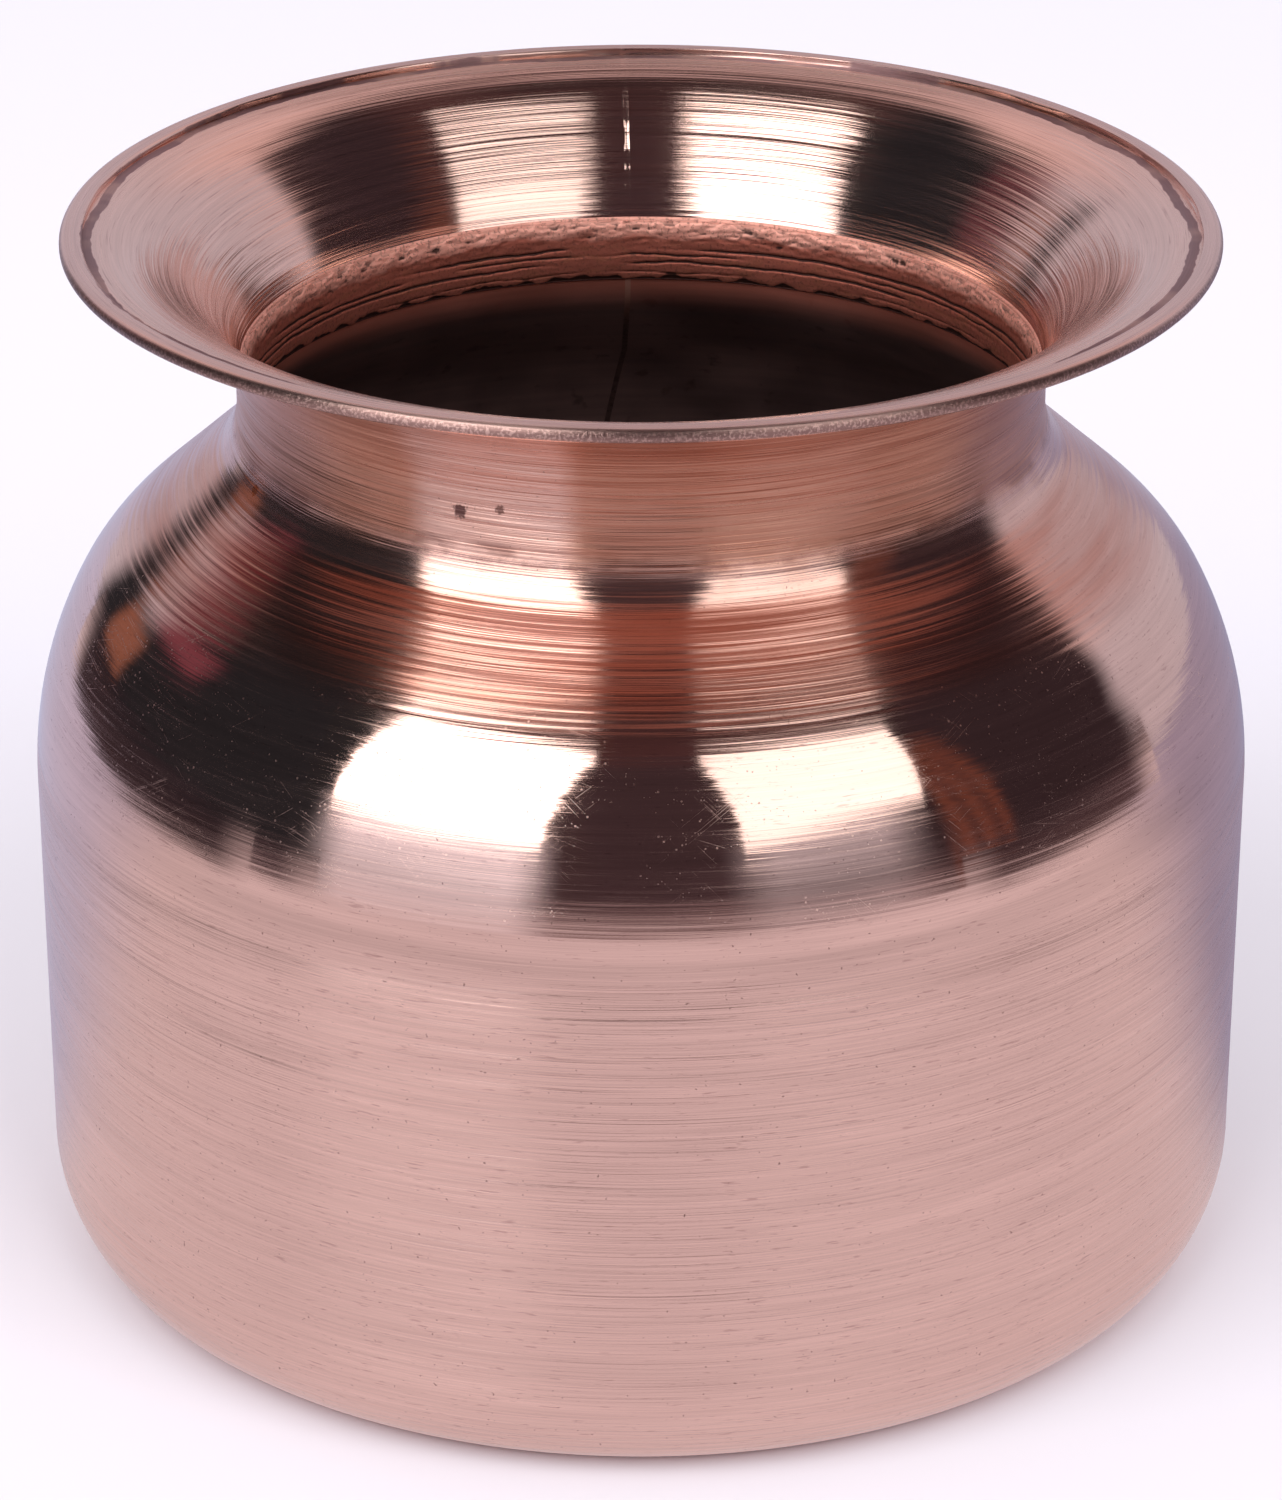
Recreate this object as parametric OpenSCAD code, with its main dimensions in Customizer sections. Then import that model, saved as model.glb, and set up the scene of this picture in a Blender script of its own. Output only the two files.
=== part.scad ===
// Copper lota: a round water pot of spun sheet, with a narrow waist and a wide flared mouth.
// Three spun shells are brazed together: a cup, a shoulder and a mouth collar.
// The origin is the centre of the base, on the table. +Z is up, and units are millimetres.

/* [Body] */
// Outside diameter of the straight wall
body_d = 125; // [118:1:132]
// Thickness of the copper sheet
sheet = 0.7; // [0.5:0.05:0.9]
// Height at which the wall starts to turn in to the shoulder
wall_top = 51.3; // [50:0.1:56]

/* [Base] */
// Radius of the corner where it leaves the wall
corner_r = 13; // [10:0.5:16]
// Radius of the corner where it meets the base
heel_r = 7.5; // [5:0.5:9]
// How far the corner turns on its larger radius, in degrees
corner_turn = 30; // [20:1:40]
// Width of the flat ring that the pot stands on
foot_w = 9; // [6:1:12]
// Height of the raised middle of the base
dish_h = 1; // [0.5:0.1:1.5]

/* [Shoulder] */
// Radius of the shoulder where it leaves the wall
crown_r = 39.2; // [37:0.1:41]
// How far the shoulder turns on that radius, in degrees
crown_turn = 28; // [26:1:30]
// Radius of the tighter bend above it
bend_r = 23.7; // [22:0.1:25]
// Steepness of the shoulder's straight slope: the tilt of its normal, in degrees
slope_turn = 48.6; // [46:0.1:50]

/* [Neck] */
// Outside diameter of the waist
neck_d = 81.5; // [79:0.5:84]
// Radius of the hollow curve between the shoulder and the waist
fillet_r = 9; // [7:0.5:11]
// Height of the straight stretch at the waist
waist_h = 1.3; // [1.1:0.1:2]

/* [Mouth] */
// Outside diameter of the rim
rim_d = 115.5; // [113:0.5:118]
// Height of the top of the rim above the table
rim_top = 109; // [108:0.5:111]
// Width of the folded hem on top of the lip
hem_w = 2; // [1.5:0.1:3]
// Width of the shallow channel between the hem and the curved lip
channel_w = 1.25; // [0.8:0.05:1.6]
// How far the mouth turns outwards on its first curve, in degrees
flare_turn = 60; // [56:1:62]
// How far the lip has turned where it meets the hem, in degrees
lip_turn = 78; // [76:1:80]

/* [Brazed joints] */
// Height of the joint round the wall
belt_z = 45.5; // [44:0.5:46]
// Height over which the cup's edge steps in, under the shoulder's skirt
joggle_h = 0.8; // [0.6:0.1:1]
// Height to which the cup's edge reaches up inside the shoulder's skirt
lap_top = 49.5; // [48.5:0.1:50]
// Thickness of the film of filler in the lap
film = 0.1; // [0.06:0.01:0.15]
// Gap between the edges of shoulder and collar at the waist
neck_gap = 0.3; // [0.2:0.05:0.4]
// Thickness of the filler on the inside of the waist
band_t = 0.35; // [0.2:0.05:0.5]
// How far the filler reaches above the middle of the gap
band_up = 3.7; // [2:0.1:4]
// How far the filler reaches below the middle of the gap
band_down = 3.6; // [2:0.1:4]
// Width of the upright seams
seam_w = 0.6; // [0.4:0.1:1]
// Direction of the upright seams, in degrees from +X
seam_angle = 92; // [80:1:100]

/* [Hidden] */
$fn = 144;

copper = "#c98f78";
warm_copper = "#b5745a";
filler = "#a8714e";

body_r = body_d / 2;
neck_r = neck_d / 2;
rim_r = rim_d / 2;

// Base: both corner arcs are tangent to each other, to the wall and to the table.
corner_c = [body_r - corner_r, heel_r + (corner_r - heel_r) * sin(corner_turn)];
heel_c = corner_c + (corner_r - heel_r) * [cos(corner_turn), -sin(corner_turn)];
foot_in = heel_c.x - foot_w;
// Width of the slope from the foot ring up to the raised middle
dish_slope_w = 3;
// Outer radius of the cup's set-in edge
lap_r = body_r - sheet - film;

// Shoulder: two tangent arcs, a straight slope and a hollow fillet that ends upright at the waist.
crown_c = [body_r - crown_r, wall_top];
bend_c = crown_c + (crown_r - bend_r) * [cos(crown_turn), sin(crown_turn)];
slope_start = bend_c + bend_r * [cos(slope_turn), sin(slope_turn)];
slope_end_r = neck_r + fillet_r * (1 - cos(slope_turn));
slope_end_z = slope_start.y + (slope_start.x - slope_end_r) / tan(slope_turn);
waist_z = slope_end_z + fillet_r * sin(slope_turn);
fillet_c = [neck_r + fillet_r, waist_z];

// Neck joint: the edges of shoulder and collar face each other across a narrow gap,
// a little above the lower end of the straight waist.
joint_up = 0.45;
joint_z = waist_z + joint_up;
shoulder_edge = joint_z - neck_gap / 2;
collar_edge = joint_z + neck_gap / 2;

// Mouth: the radii of its two tangent arcs follow from where the upper surface starts and ends.
flare_z = waist_z + waist_h;
lip_end_r = rim_r - hem_w - channel_w;
lip_end_z = rim_top - sheet;
mouth_out = lip_end_r - (neck_r - sheet);
mouth_up = lip_end_z - flare_z;
out_1 = 1 - cos(flare_turn);
out_2 = cos(flare_turn) - cos(lip_turn);
up_1 = sin(flare_turn);
up_2 = sin(lip_turn) - sin(flare_turn);
mix = out_1 * up_2 - up_1 * out_2;
flare_r = (mouth_out * up_2 - mouth_up * out_2) / mix - sheet;
lip_r = (out_1 * mouth_up - up_1 * mouth_out) / mix - sheet;
flare_c = [neck_r + flare_r, flare_z];
lip_c = flare_c + (flare_r - lip_r) * [-cos(flare_turn), sin(flare_turn)];

// Largest turn between two points of an arc, in degrees
arc_step = 3;
// How far a slot runs on past the shell that it cuts
beyond = 1;

// Points along a circular arc, from angle a0 to angle a1
function arc(c, r, a0, a1) =
    let (steps = max(2, ceil(abs(a1 - a0) / arc_step)))
    [for (i = [0:steps]) let (a = a0 + (a1 - a0) * i / steps) c + r * [cos(a), sin(a)]];

function reversed(points) = [for (i = [len(points) - 1:-1:0]) points[i]];

// Each line runs along a shell at a depth below its outer surface.
function cup_line(depth) = concat(
    [
        [0, dish_h + depth],
        [foot_in - dish_slope_w, dish_h + depth],
        [foot_in, depth]
    ],
    arc(heel_c, heel_r - depth, -90, -corner_turn),
    arc(corner_c, corner_r - depth, -corner_turn, 0),
    [
        [body_r - depth, belt_z],
        [lap_r - depth, belt_z + joggle_h],
        [lap_r - depth, lap_top]
    ]
);

function shoulder_line(depth) = concat(
    [[body_r - depth, belt_z + joggle_h]],
    arc(crown_c, crown_r - depth, 0, crown_turn),
    arc(bend_c, bend_r - depth, crown_turn, slope_turn),
    arc(fillet_c, fillet_r + depth, 180 + slope_turn, 180),
    [[neck_r - depth, shoulder_edge]]
);

function mouth_line(depth) = concat(
    [[neck_r - depth, collar_edge]],
    arc(flare_c, flare_r + depth, 180, 180 - flare_turn),
    arc(lip_c, lip_r + depth, 180 - flare_turn, 180 - lip_turn)
);

// Outlines that are turned round the Z axis
module cup_outline() {
    polygon(concat(cup_line(0), reversed(cup_line(sheet))));
}

module shoulder_outline() {
    polygon(concat(shoulder_line(0), reversed(shoulder_line(sheet))));
}

module collar_outline() {
    hem_fold = arc([rim_r - sheet, rim_top - sheet], sheet, -90, 90);
    hem_end = [[rim_r - hem_w, rim_top], [rim_r - hem_w, rim_top - sheet]];
    polygon(concat(mouth_line(0), hem_fold, hem_end, reversed(mouth_line(sheet))));
}

// A groove under the edge of the skirt, and a film up the lap behind it
module belt_braze_outline() {
    skirt_edge = belt_z + joggle_h;
    polygon([
        [body_r, belt_z],
        [body_r, skirt_edge],
        [body_r - sheet, skirt_edge],
        [body_r - sheet, lap_top],
        [lap_r, lap_top],
        [lap_r, skirt_edge]
    ]);
}

// The filler takes what the two sheets leave free at the waist, and a band inside them.
module neck_braze_outline() {
    outer = concat(shoulder_line(0), mouth_line(0));
    inner = concat(shoulder_line(sheet + band_t), mouth_line(sheet + band_t));
    difference() {
        intersection() {
            polygon(concat(outer, reversed(inner)));
            translate([0, joint_z - band_down])
                square([body_r, band_down + band_up]);
        }
        shoulder_outline();
        collar_outline();
    }
}

// An upright slot from the axis out through the wall, where a rolled sheet's ends meet
module seam_slot() {
    rotate([0, 0, seam_angle])
        translate([0, -seam_w / 2, 0])
            cube([body_r + beyond, seam_w, rim_top + beyond]);
}

module lower_cup() {
    color(copper)
        rotate_extrude() cup_outline();
}

module shoulder_shell() {
    color(copper)
        difference() {
            rotate_extrude() shoulder_outline();
            seam_slot();
        }
}

module mouth_collar() {
    color(warm_copper)
        difference() {
            rotate_extrude() collar_outline();
            seam_slot();
        }
}

module belt_braze() {
    color(filler)
        rotate_extrude() belt_braze_outline();
}

module neck_braze() {
    color(filler)
        rotate_extrude() neck_braze_outline();
}

module shoulder_seam_braze() {
    color(filler)
        intersection() {
            rotate_extrude() shoulder_outline();
            seam_slot();
        }
}

module collar_seam_braze() {
    color(filler)
        intersection() {
            rotate_extrude() collar_outline();
            seam_slot();
        }
}

lower_cup();
shoulder_shell();
mouth_collar();
belt_braze();
neck_braze();
shoulder_seam_braze();
collar_seam_braze();
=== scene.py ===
"""A copper lota: satin wall, ridged shoulder, rough brazed band in the neck, flared mouth with a folded hem.

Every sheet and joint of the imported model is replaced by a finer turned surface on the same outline.
Lengths are in metres, and MM turns the outline's millimetres into them.
"""

import math

import bmesh
import bpy
import numpy as np
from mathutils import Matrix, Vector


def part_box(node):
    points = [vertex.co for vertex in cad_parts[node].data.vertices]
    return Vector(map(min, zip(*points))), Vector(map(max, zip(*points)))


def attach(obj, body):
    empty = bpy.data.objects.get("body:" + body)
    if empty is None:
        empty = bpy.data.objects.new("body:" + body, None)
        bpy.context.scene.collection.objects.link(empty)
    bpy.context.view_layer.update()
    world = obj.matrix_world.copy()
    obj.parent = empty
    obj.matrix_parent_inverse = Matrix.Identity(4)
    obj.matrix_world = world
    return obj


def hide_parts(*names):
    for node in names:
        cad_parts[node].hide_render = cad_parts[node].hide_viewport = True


MM = 0.001

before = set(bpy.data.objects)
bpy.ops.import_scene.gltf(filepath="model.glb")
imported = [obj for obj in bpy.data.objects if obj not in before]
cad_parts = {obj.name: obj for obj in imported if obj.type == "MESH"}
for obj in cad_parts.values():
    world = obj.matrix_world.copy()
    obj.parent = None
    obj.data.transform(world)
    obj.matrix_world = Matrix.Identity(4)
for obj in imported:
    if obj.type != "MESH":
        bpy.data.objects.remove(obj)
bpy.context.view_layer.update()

# Sizes that the frame gives
cup_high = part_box("lower_cup")[1]
shell_low, shell_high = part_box("shoulder_shell")
collar_low, collar_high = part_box("mouth_collar")
belt_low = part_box("belt_braze")[0]
band_low, band_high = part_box("neck_braze")
BODY_R = cup_high.x
RIM_R = collar_high.x
RIM_TOP = collar_high.z
LAP_TOP = cup_high.z
SKIRT_EDGE = shell_low.z
SHOULDER_EDGE = shell_high.z
COLLAR_EDGE = collar_low.z
BELT_Z = belt_low.z

# The rest of the outline's driving sizes, as the design has them
SHEET = 0.7 * MM
FILM = 0.1 * MM
CORNER_R, HEEL_R, CORNER_TURN = 13 * MM, 7.5 * MM, 30
FOOT_W, DISH_SLOPE_W, DISH_H = 9 * MM, 3 * MM, 1 * MM
WALL_TOP = 51.3 * MM
CROWN_R, CROWN_TURN = 39.2 * MM, 28
BEND_R, SLOPE_TURN = 23.7 * MM, 48.6
NECK_R, FILLET_R, WAIST_H = 40.75 * MM, 9 * MM, 1.3 * MM
HEM_W, CHANNEL_W = 2 * MM, 1.25 * MM
FLARE_TURN, LIP_TURN = 60, 78
BAND_T = 0.35 * MM
SEAM_W, SEAM_ANGLE = 0.6 * MM, 92

# The seam inside the shoulder leans over by this many degrees between these heights.
SEAM_SKEW, SEAM_SKEW_TOP, SEAM_SKEW_LOW = 2.0, 75 * MM, 62 * MM

# A turn in an outline, in degrees, that shows as an edge
CORNER = 25
# Largest turn between two points of an arc, in degrees
ARC_STEP = 1.5
# Points closer together than this count as one.
TOUCHING = 1e-7
# Faces round each turned piece, and across an upright seam
CUP_SEGMENTS, SHOULDER_SEGMENTS, COLLAR_SEGMENTS, BAND_SEGMENTS = 432, 380, 468, 900
SEAM_SEGMENTS = 10


def cosine(degrees):
    return math.cos(math.radians(degrees))


def sine(degrees):
    return math.sin(math.radians(degrees))


def polar(radius, degrees):
    return np.array([cosine(degrees), sine(degrees)]) * radius


# Centres and ends of the outline's arcs, worked out as the design does
corner_c = np.array([BODY_R - CORNER_R, HEEL_R + (CORNER_R - HEEL_R) * sine(CORNER_TURN)])
heel_c = corner_c + polar(CORNER_R - HEEL_R, -CORNER_TURN)
foot_in = heel_c[0] - FOOT_W
lap_r = BODY_R - SHEET - FILM
crown_c = np.array([BODY_R - CROWN_R, WALL_TOP])
bend_c = crown_c + polar(CROWN_R - BEND_R, CROWN_TURN)
slope_start = bend_c + polar(BEND_R, SLOPE_TURN)
slope_end_r = NECK_R + FILLET_R * (1 - cosine(SLOPE_TURN))
slope_end_z = slope_start[1] + (slope_start[0] - slope_end_r) / math.tan(math.radians(SLOPE_TURN))
waist_z = slope_end_z + FILLET_R * sine(SLOPE_TURN)
fillet_c = np.array([NECK_R + FILLET_R, waist_z])

# The mouth's two radii follow from where its upper surface starts and ends.
lip_end = np.array([RIM_R - HEM_W - CHANNEL_W, RIM_TOP - SHEET])
flare_start = np.array([NECK_R - SHEET, waist_z + WAIST_H])


def turned(a, b):
    """How far out and up an arc of radius 1 goes while it turns from a to b degrees."""
    return [cosine(a) - cosine(b), sine(b) - sine(a)]


turns = np.array([turned(0, FLARE_TURN), turned(FLARE_TURN, LIP_TURN)]).T
flare_r, lip_r = np.linalg.solve(turns, lip_end - flare_start) - SHEET
flare_c = np.array([NECK_R + flare_r, flare_start[1]])
lip_c = flare_c + (flare_r - lip_r) * np.array([-cosine(FLARE_TURN), sine(FLARE_TURN)])


# Outlines: lists of points in the plane of r and z

def arc(centre, radius, start, end):
    steps = max(2, math.ceil(abs(end - start) / ARC_STEP))
    return [centre + polar(radius, start + (end - start) * i / steps) for i in range(steps + 1)]


def spaced(points, step):
    """The same line with its points a step apart. Corners stay within half a step."""
    points = np.array(points, float)
    length = np.concatenate([[0], np.cumsum(np.linalg.norm(np.diff(points, axis=0), axis=1))])
    at = np.linspace(0, length[-1], max(1, round(length[-1] / step)) + 1)
    return np.column_stack([np.interp(at, length, points[:, i]) for i in (0, 1)])


def section(*stretches):
    """Joins stretches of (points, step, side) into an outline.

    The side is 1 where the faces show the inside's material. The second result gives it for each point.
    """
    parts = [spaced(points, step) for points, step, _ in stretches]
    sides = np.concatenate([np.full(len(part), side) for part, (_, _, side) in zip(parts, stretches)])
    line = np.concatenate(parts)
    keep = np.linalg.norm(np.roll(line, -1, axis=0) - line, axis=1) > TOUCHING
    return line[keep], sides[keep]


def base_line(depth):
    return [[0, DISH_H + depth], [foot_in - DISH_SLOPE_W, DISH_H + depth], [foot_in, depth]]


def corner_line(depth):
    return arc(heel_c, HEEL_R - depth, -90, -CORNER_TURN) + arc(corner_c, CORNER_R - depth, -CORNER_TURN, 0)


def lap_line(depth):
    return [[lap_r - depth, SKIRT_EDGE], [lap_r - depth, LAP_TOP]]


def crown_line(depth):
    return arc(crown_c, CROWN_R - depth, 0, CROWN_TURN) + arc(bend_c, BEND_R - depth, CROWN_TURN, SLOPE_TURN)


def fillet_line(depth):
    return arc(fillet_c, FILLET_R + depth, 180 + SLOPE_TURN, 180)


def flare_line(depth):
    line = arc(flare_c, flare_r + depth, 180, 180 - FLARE_TURN)
    return line + arc(lip_c, lip_r + depth, 180 - FLARE_TURN, 180 - LIP_TURN)


def line_length(line):
    return np.linalg.norm(np.diff(np.array(line, float), axis=0), axis=1).sum()


# Turned surfaces

def outward(line, closed):
    """The unit normals of an outline that runs round its material with the material on its left."""
    if closed:
        along = np.roll(line, -1, axis=0) - np.roll(line, 1, axis=0)
    else:
        along = np.gradient(line, axis=0)
    along /= np.linalg.norm(along, axis=1)[:, None]
    return np.column_stack([along[:, 1], -along[:, 0]])


def seam_place(z):
    """The seam's direction in radians. Below the middle of the shoulder it runs askew."""
    drift = np.clip((SEAM_SKEW_TOP - z) / (SEAM_SKEW_TOP - SEAM_SKEW_LOW), 0, 1)
    return np.radians(SEAM_ANGLE + SEAM_SKEW * drift)


def seam_half(r):
    return np.arcsin(SEAM_W / 2 / np.maximum(r, SEAM_W))


def full_circle(r, z, segments):
    return np.broadcast_to(2 * math.pi * np.arange(segments) / segments, (len(r), segments))


def round_the_seam(r, z, segments):
    start, half = seam_place(z), seam_half(r)
    return start + half + (2 * math.pi - 2 * half) * np.arange(segments + 1) / segments


def in_the_seam(r, z, segments):
    start, half = seam_place(z), seam_half(r)
    return start - half + 2 * half * np.arange(segments + 1) / segments


def turn(name, outline, segments, relief=None, spread=full_circle, along_from=0.0):
    """Turns a closed outline round Z. relief(r, z, azimuth) gives how far each point stands proud.

    spread gives each ring's directions, and along_from is the outline's length at its first point.
    """
    line, sides = outline
    whole = spread is full_circle
    poles = line[0][0] < TOUCHING
    normals = outward(line, closed=not poles)
    r, z = line[:, :1], line[:, 1:]
    azimuth = spread(r, z, segments)
    proud = np.broadcast_to(relief(r, z, azimuth) if relief else 0.0, azimuth.shape)
    rr = np.maximum(r + normals[:, :1] * proud, 0)
    zz = z + normals[:, 1:] * proud
    points = np.stack([rr * np.cos(azimuth), rr * np.sin(azimuth), zz], axis=-1).reshape(-1, 3)
    rings, around = rr.shape
    ring = np.arange(rings - 1 if poles else rings)
    column = np.arange(around if whole else around - 1)
    i, k = np.meshgrid(ring, column, indexing="ij")
    j, m = (i + 1) % rings, (k + 1) % around
    faces = np.stack([i * around + k, i * around + m, j * around + m, j * around + k], axis=-1)
    faces = faces.reshape(-1, 4).tolist()
    side = np.repeat(sides[ring], len(column)).tolist()
    smooth = [True] * len(faces)
    if not whole:
        faces.append([n * around for n in range(rings)])
        faces.append([n * around + around - 1 for n in reversed(range(rings))])
        side += [0, 0]
        smooth += [False, False]
    mesh = bpy.data.meshes.new(name)
    mesh.from_pydata(points.tolist(), [], faces)
    mesh.polygons.foreach_set("use_smooth", smooth)
    mesh.polygons.foreach_set("material_index", side)
    mark_corners(mesh, line, around, poles)
    length = np.concatenate([[0], np.cumsum(np.linalg.norm(np.diff(line, axis=0), axis=1))])
    add_value(mesh, "along", np.repeat(along_from + length, around))
    add_value(mesh, "proud", proud)
    piece = bpy.data.objects.new(name, mesh)
    bpy.context.collection.objects.link(piece)
    if poles:
        weld(mesh)
    return piece


def add_value(mesh, name, values):
    stored = mesh.attributes.new(name, "FLOAT", "POINT")
    stored.data.foreach_set("value", np.ravel(values).astype(np.float32))


def mark_corners(mesh, line, around, poles):
    """Marks the ring edges sharp where the outline turns by more than CORNER degrees."""
    step = np.roll(line, -1, axis=0) - line
    step /= np.maximum(np.linalg.norm(step, axis=1), TOUCHING)[:, None]
    bend = np.degrees(np.arccos(np.clip((step * np.roll(step, 1, axis=0)).sum(axis=1), -1, 1)))
    corner = bend > CORNER
    if poles:
        corner[0] = corner[-1] = False
    pairs = np.empty(len(mesh.edges) * 2, int)
    mesh.edges.foreach_get("vertices", pairs)
    rings = pairs.reshape(-1, 2) // around
    sharp = (rings[:, 0] == rings[:, 1]) & corner[rings[:, 0]]
    mesh.attributes.new("sharp_edge", "BOOLEAN", "EDGE").data.foreach_set("value", sharp)


def weld(mesh):
    """Joins the points that meet on the axis and drops the faces that this leaves without area."""
    work = bmesh.new()
    work.from_mesh(mesh)
    bmesh.ops.remove_doubles(work, verts=work.verts, dist=TOUCHING)
    work.to_mesh(mesh)
    work.free()


def rise(value, low, high):
    """A smooth step from 0 at low to 1 at high."""
    t = np.clip((value - low) / (high - low), 0, 1)
    return t * t * (3 - 2 * t)


def between(value, low, high, soft):
    """1 between low and high, falling to 0 over soft outside them."""
    return rise(value, low - soft, low) * (1 - rise(value, high, high + soft))


def round_random(seed, knots, low, high):
    """A closed random function of azimuth that runs smoothly through the given number of knots."""
    values = np.random.default_rng(seed).uniform(low, high, knots)

    def at(azimuth):
        place = np.mod(azimuth / (2 * math.pi), 1) * knots
        knot = np.floor(place).astype(int)
        part = rise(place - knot, 0, 1)
        return values[knot % knots] * (1 - part) + values[(knot + 1) % knots] * part

    return at


# Enough ridges for the longest stretch at the finest pitch
MOST_RIDGES = 400
# How far ring marks and ridges swing either way, in metres
FAINT_MARKS, COARSE_MARKS = 1.3e-6, 4e-6
DEEP_RIDGES, FINE_RIDGES = 14e-6, 4e-6
FLARE_MARKS, FINE_FLARE_MARKS = 1.0e-6, 0.5e-6


def ridges(place, pitch, seed):
    """Irregular ridges along a length, each with a height of its own, from -1 to 1 overall."""
    heights = np.random.default_rng(seed).uniform(0.2, 1.0, MOST_RIDGES)
    number = place / pitch
    return np.interp(number, np.arange(MOST_RIDGES), heights) * np.cos(2 * math.pi * number)


# ---- Lower cup

def wall_relief(r, z, azimuth):
    """Ring marks on the wall, none proud of it: faint ones all over, coarser ones round the joint."""
    outside = r > BODY_R - SHEET / 2
    sway = 0.15 * MM * np.sin(2 * azimuth + 0.7)
    faint = FAINT_MARKS * (ridges(z + sway, 1.7 * MM, 3) - 1) * between(z, 14 * MM, 43 * MM, 2 * MM)
    coarse = COARSE_MARKS * (ridges(z + 0.3 * sway, 0.8 * MM, 5) - 1)
    coarse = coarse * between(z, 44 * MM, 49 * MM, 1.2 * MM)
    return outside * (faint + coarse)


# Height above which the wall's rings are close together, to hold the coarser marks
MARKS_FROM = 41 * MM
cup_outline = section(
    (base_line(0), 3 * MM, 0),
    (corner_line(0), 0.8 * MM, 0),
    ([[BODY_R, corner_c[1]], [BODY_R, MARKS_FROM]], 0.6 * MM, 0),
    ([[BODY_R, MARKS_FROM], [BODY_R, BELT_Z]], 0.2 * MM, 0),
    ([[BODY_R, BELT_Z], [lap_r, SKIRT_EDGE]], 0.4 * MM, 0),
    (lap_line(0), 1 * MM, 0),
    ([[lap_r, LAP_TOP], [lap_r - SHEET, LAP_TOP]], 0.35 * MM, 1),
    (lap_line(SHEET)[::-1], 1.2 * MM, 1),
    ([[lap_r - SHEET, SKIRT_EDGE], [BODY_R - SHEET, BELT_Z]], 0.4 * MM, 1),
    ([[BODY_R - SHEET, BELT_Z], [BODY_R - SHEET, corner_c[1]]], 1.6 * MM, 1),
    (corner_line(SHEET)[::-1], 1.2 * MM, 1),
    (base_line(SHEET)[::-1], 3 * MM, 1),
)
cup_start = corner_c[1] - line_length(base_line(0) + corner_line(0))
cup = turn("cup", cup_outline, CUP_SEGMENTS, wall_relief, along_from=cup_start)

# ---- Shoulder
slope = [slope_start, np.array([slope_end_r, slope_end_z])]
slope_in = [point - polar(SHEET, SLOPE_TURN) for point in slope]
gap_in = NECK_R - SHEET


def shoulder_relief(r, z, azimuth):
    """Ring marks at the skirt, and the spinning ridges high on the slope and up the hollow."""
    outside = r - shell_inner_r(z) > SHEET / 2
    sway = 0.12 * MM * np.sin(azimuth + 1.1)
    place = z - r + 60 * MM + sway
    high = rise(z, 74.3 * MM, 77.5 * MM) * (1 - 0.8 * rise(z, 86.5 * MM, 90 * MM))
    grooves = DEEP_RIDGES * ridges(place, 1.25 * MM, 11) + FINE_RIDGES * ridges(place, 0.61 * MM, 12)
    return outside * high * grooves + wall_relief(r, z, azimuth)


def shell_inner_r(z):
    """The radius of the shoulder's inner surface at a height."""
    curve = crown_line(SHEET) + slope_in + fillet_line(SHEET)
    line = np.array([[BODY_R - SHEET, 0]] + curve + [[gap_in, RIM_TOP]])
    return np.interp(z, line[:, 1], line[:, 0])


shoulder_outline = section(
    ([[BODY_R, SKIRT_EDGE], [BODY_R, WALL_TOP]], 0.25 * MM, 0),
    (crown_line(0), 0.45 * MM, 0),
    (slope, 0.16 * MM, 0),
    (fillet_line(0), 0.17 * MM, 0),
    ([[NECK_R, waist_z], [NECK_R, SHOULDER_EDGE]], 0.15 * MM, 0),
    ([[NECK_R, SHOULDER_EDGE], [gap_in, SHOULDER_EDGE]], 0.35 * MM, 0),
    (fillet_line(SHEET)[::-1], 0.8 * MM, 1),
    (slope_in[::-1], 1.2 * MM, 1),
    (crown_line(SHEET)[::-1], 1.2 * MM, 1),
    ([[BODY_R - SHEET, WALL_TOP], [BODY_R - SHEET, SKIRT_EDGE]], 1.2 * MM, 1),
    ([[BODY_R - SHEET, SKIRT_EDGE], [BODY_R, SKIRT_EDGE]], 0.35 * MM, 1),
)
shoulder = turn("shoulder", shoulder_outline, SHOULDER_SEGMENTS, shoulder_relief, round_the_seam, SKIRT_EDGE)


def seam_groove(azimuth):
    """How far the seam's middle lies below its sides, from 0 to 1, at each place across it."""
    across = (azimuth - azimuth.mean(axis=1, keepdims=True)) / (np.ptp(azimuth, axis=1)[:, None] / 2)
    return 1 - np.abs(across) ** 1.5


def shoulder_seam_relief(r, z, azimuth):
    """Dressed almost flush outside, and a ragged groove inside."""
    inside = r - shell_inner_r(z) < SHEET / 2
    ragged = 0.6 + 0.4 * np.sin(z * 2600) * np.sin(z * 970)
    return -(0.006 + 0.014 * inside * ragged) * MM * seam_groove(azimuth)


shoulder_seam = turn(
    "shoulder_seam", shoulder_outline, SEAM_SEGMENTS, shoulder_seam_relief, in_the_seam, SKIRT_EDGE
)

# ---- Mouth collar
hem_in = RIM_R - HEM_W
channel_in = hem_in - CHANNEL_W
hem_c = np.array([RIM_R - SHEET, RIM_TOP - SHEET])
EDGE_R = 0.15 * MM
hem_edge_c = [hem_in + EDGE_R, RIM_TOP - EDGE_R]
hem_wander = round_random(31, 70, -0.10 * MM, 0.16 * MM)
hem_slow = round_random(32, 11, -0.16 * MM, 0.16 * MM)


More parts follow.
